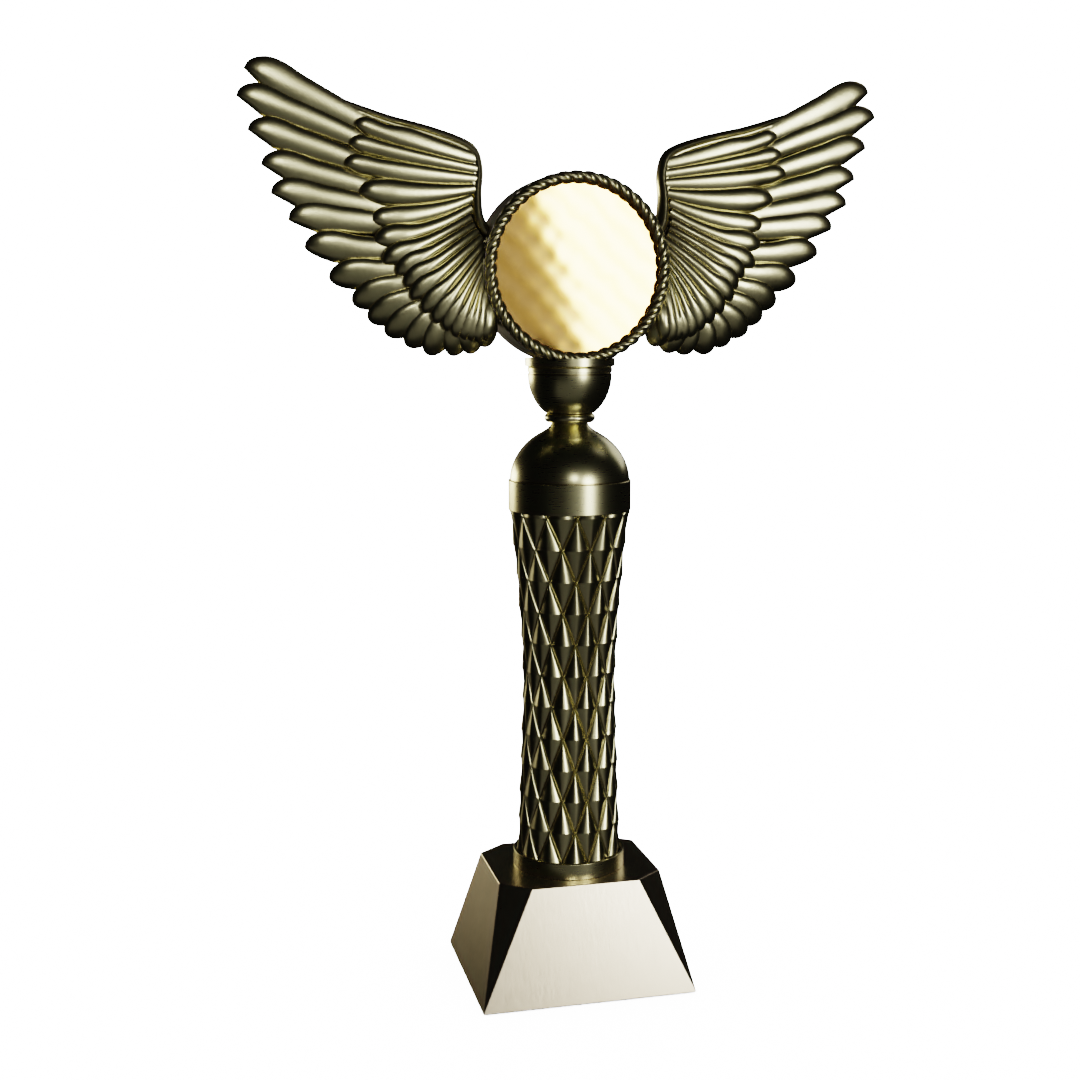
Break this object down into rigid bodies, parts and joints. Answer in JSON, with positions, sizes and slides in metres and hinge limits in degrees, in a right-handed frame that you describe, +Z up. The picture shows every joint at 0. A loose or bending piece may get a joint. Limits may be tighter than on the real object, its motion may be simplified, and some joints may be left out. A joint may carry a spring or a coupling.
{
  "type": "winged medallion trophy",
  "caption": "Free-standing metal award: faceted plinth, diamond-relief column, turned dome and cup, rope-edged round medallion between two spread wings.",
  "frame": {"origin": "centre of the plinth's footprint on the floor", "axes": "+Z up along the column, -Y toward the front of the medallion, +X toward the viewer's right wing as seen from the front"},
  "size_m": [0.2582, 0.0722, 0.3676],
  "materials": {
    "cast_gold": "satin antique gold plating over die cast metal",
    "turned_gold": "brushed antique gold plating on turned metal",
    "plinth_gold": "satin champagne gold plating",
    "drum_gold": "dark satin gold plating",
    "disc_gold": "bright gold, lightly dimpled",
    "iron": "rough black cast iron",
    "steel": "zinc plated",
    "felt": "black felt",
    "pad": "white foam adhesive pad"
  },
  "bodies": {
    "root": {"left_wing": "cast_gold", "right_wing": "cast_gold", "rope_bezel": "cast_gold", "column_sleeve": "cast_gold", "base_collar": "turned_gold", "column_cap_band": "turned_gold", "dome_neck": "turned_gold", "neck_bead": "turned_gold", "bowl": "turned_gold", "bowl_rim": "turned_gold", "medallion_seat": "turned_gold", "base_shell": "plinth_gold", "drum_shell": "drum_gold", "back_cover": "drum_gold", "centre_disc": "disc_gold", "ballast_block": "iron", "base_plate": "steel", "base_plate_screws": "steel", "tie_rod": "steel", "rod_bottom_nut": "steel", "rod_bottom_washer": "steel", "rod_top_nut": "steel", "drum_clamp_block": "steel", "back_cover_screws": "steel", "left_wing_screws": "steel", "right_wing_screws": "steel", "felt_pad": "felt", "disc_pad": "pad"}
  },
  "joints": []
}
